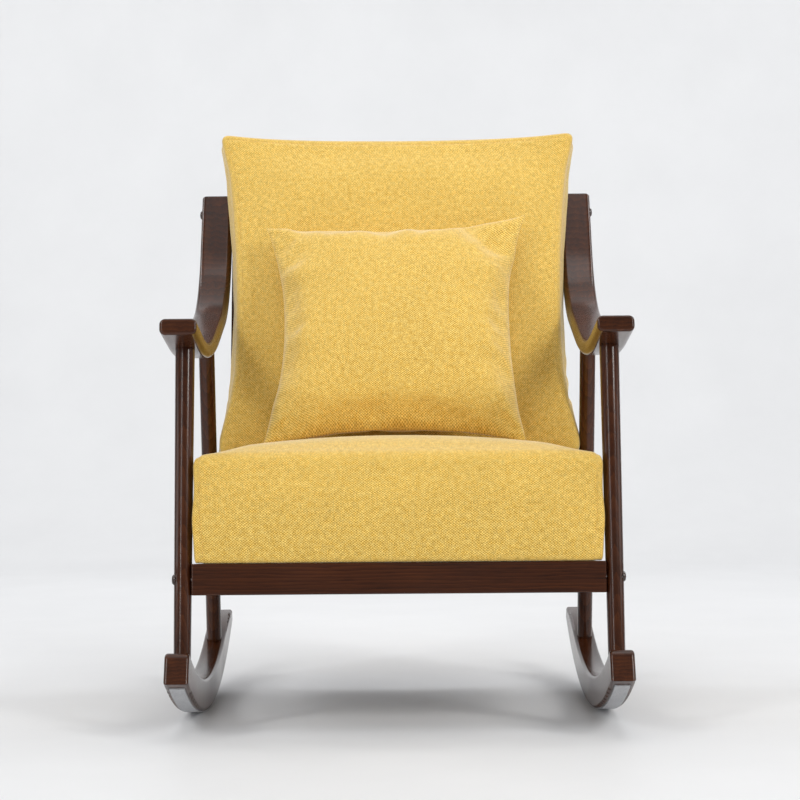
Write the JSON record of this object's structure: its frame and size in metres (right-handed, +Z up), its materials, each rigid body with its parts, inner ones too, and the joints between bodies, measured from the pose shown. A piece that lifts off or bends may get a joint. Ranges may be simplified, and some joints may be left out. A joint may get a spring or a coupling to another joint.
{
  "type": "rocking chair",
  "caption": "Wooden rocking chair with bent arms, curved rockers and a slatted seat and back, carrying a thick seat cushion, a back cushion and a loose throw pillow.",
  "frame": {"origin": "on the floor, under the middle of the chair's width and depth", "axes": "+X to the right seen from the front, +Y from the front to the back, +Z up"},
  "size_m": [0.6656, 0.7446, 0.9243],
  "materials": {
    "stained_wood": "satin",
    "dowel_wood": "matte",
    "cushion_fabric": "matte",
    "anti_slip_strip": "matte",
    "steel": "satin",
    "cap_plastic": "satin"
  },
  "bodies": {
    "frame": {"arm_barrel_nuts": "steel", "arm_bolts": "steel", "back_dowels": "dowel_wood", "back_lower_rail": "stained_wood", "back_slat_1": "stained_wood", "back_slat_2": "stained_wood", "back_slat_3": "stained_wood", "back_slat_4": "stained_wood", "back_top_rail": "stained_wood", "bolt_caps": "cap_plastic", "front_seat_rail": "stained_wood", "left_arm": "stained_wood", "left_back_stile": "stained_wood", "left_front_leg": "stained_wood", "left_rear_leg": "stained_wood", "left_rocker": "stained_wood", "left_rocker_strip": "anti_slip_strip", "left_seat_cleat": "stained_wood", "left_seat_rail": "stained_wood", "leg_barrel_nuts": "steel", "leg_bolts": "steel", "rear_seat_rail": "stained_wood", "right_arm": "stained_wood", "right_back_stile": "stained_wood", "right_front_leg": "stained_wood", "right_rear_leg": "stained_wood", "right_rocker": "stained_wood", "right_rocker_strip": "anti_slip_strip", "right_seat_cleat": "stained_wood", "right_seat_rail": "stained_wood", "seat_dowels": "dowel_wood", "seat_slat_1": "stained_wood", "seat_slat_2": "stained_wood", "seat_slat_3": "stained_wood", "seat_slat_4": "stained_wood", "seat_slat_5": "stained_wood", "seat_slat_6": "stained_wood", "seat_slat_7": "stained_wood", "slat_screws": "steel", "stile_dowels": "dowel_wood"},
    "seat_cushion": {"seat_cushion": "cushion_fabric"},
    "back_cushion": {"back_cushion": "cushion_fabric"},
    "throw_pillow": {"throw_pillow": "cushion_fabric"}
  },
  "joints": [
    {"name": "seat_cushion_out", "type": "slide", "parent": "frame", "child": "seat_cushion", "axis": [0, -0.9976, 0.0698], "range_m": [0, 0.4]},
    {"name": "back_cushion_out", "type": "slide", "parent": "frame", "child": "back_cushion", "axis": [0, -0.9135, 0.4067], "range_m": [0, 0.2]},
    {"name": "throw_pillow_off", "type": "slide", "parent": "back_cushion", "child": "throw_pillow", "axis": [0, -0.9681, 0.2504], "range_m": [0, 0.25]}
  ]
}
